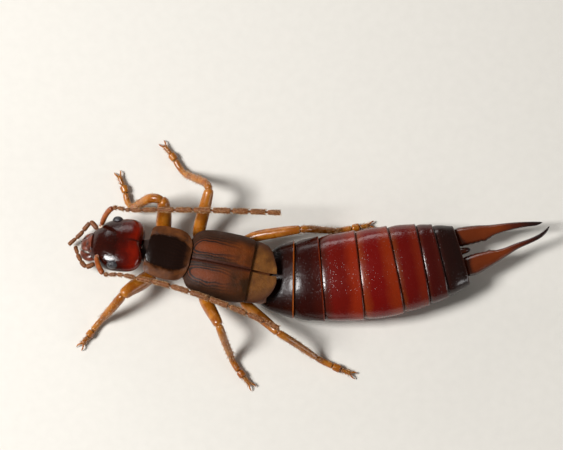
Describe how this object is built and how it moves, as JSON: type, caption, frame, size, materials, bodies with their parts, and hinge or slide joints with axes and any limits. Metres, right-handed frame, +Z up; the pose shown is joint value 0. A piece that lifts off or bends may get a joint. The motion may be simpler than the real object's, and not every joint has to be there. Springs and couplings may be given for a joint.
{
  "type": "earwig model",
  "caption": "Life-size still model of an adult male common earwig, standing, with knotted antennae, short wing cases, ringed abdomen and curved forceps.",
  "frame": {"origin": "on the floor, under the middle of the whole animal's outline", "axes": "+X from the head towards the forceps, along the body; +Y towards the animal's right side; +Z up, out of the back"},
  "size_m": [0.0202, 0.0108, 0.0034],
  "materials": {
    "head_shell": "glossy red-brown cuticle",
    "eye": "dark grey faceted cornea",
    "jaw": "dark glossy cuticle",
    "feeler": "dull brown cuticle with short hairs",
    "neck_shield": "glossy black-brown cuticle with tan margins",
    "under_body": "brown cuticle",
    "wing_case": "thin ochre-brown leathery cuticle",
    "wing_tip": "pale ochre leathery cuticle",
    "abdomen_ring": "glossy deep red-brown cuticle",
    "forceps": "glossy orange-brown cuticle with dark tips",
    "leg": "glossy amber cuticle"
  },
  "bodies": {
    "root": {"abdomen_1": "abdomen_ring", "abdomen_2": "abdomen_ring", "abdomen_3": "abdomen_ring", "abdomen_4": "abdomen_ring", "abdomen_5": "abdomen_ring", "abdomen_6": "abdomen_ring", "abdomen_7": "abdomen_ring", "antenna_left_base": "feeler", "antenna_left_middle": "feeler", "antenna_left_scape": "feeler", "antenna_left_tip": "feeler", "antenna_right_base": "feeler", "antenna_right_middle": "feeler", "antenna_right_scape": "feeler", "antenna_right_tip": "feeler", "elytron_left": "wing_case", "elytron_right": "wing_case", "eye_left": "eye", "eye_right": "eye", "forceps_left": "forceps", "forceps_right": "forceps", "head": "head_shell", "hind_thorax": "under_body", "labial_palp_left": "feeler", "labial_palp_right": "feeler", "leg_fore_left_femur": "leg", "leg_fore_left_tarsus": "leg", "leg_fore_left_tibia": "leg", "leg_fore_right_femur": "leg", "leg_fore_right_tarsus": "leg", "leg_fore_right_tibia": "leg", "leg_hind_left_femur": "leg", "leg_hind_left_tarsus": "leg", "leg_hind_left_tibia": "leg", "leg_hind_right_femur": "leg", "leg_hind_right_tarsus": "leg", "leg_hind_right_tibia": "leg", "leg_mid_left_femur": "leg", "leg_mid_left_tarsus": "leg", "leg_mid_left_tibia": "leg", "leg_mid_right_femur": "leg", "leg_mid_right_tarsus": "leg", "leg_mid_right_tibia": "leg", "mandible_left": "jaw", "mandible_right": "jaw", "maxillary_palp_left": "feeler", "maxillary_palp_right": "feeler", "neck": "under_body", "pronotum": "neck_shield", "prothorax": "under_body", "pygidium": "forceps", "upper_lip": "jaw", "wing_tip_left": "wing_tip", "wing_tip_right": "wing_tip"}
  },
  "joints": []
}
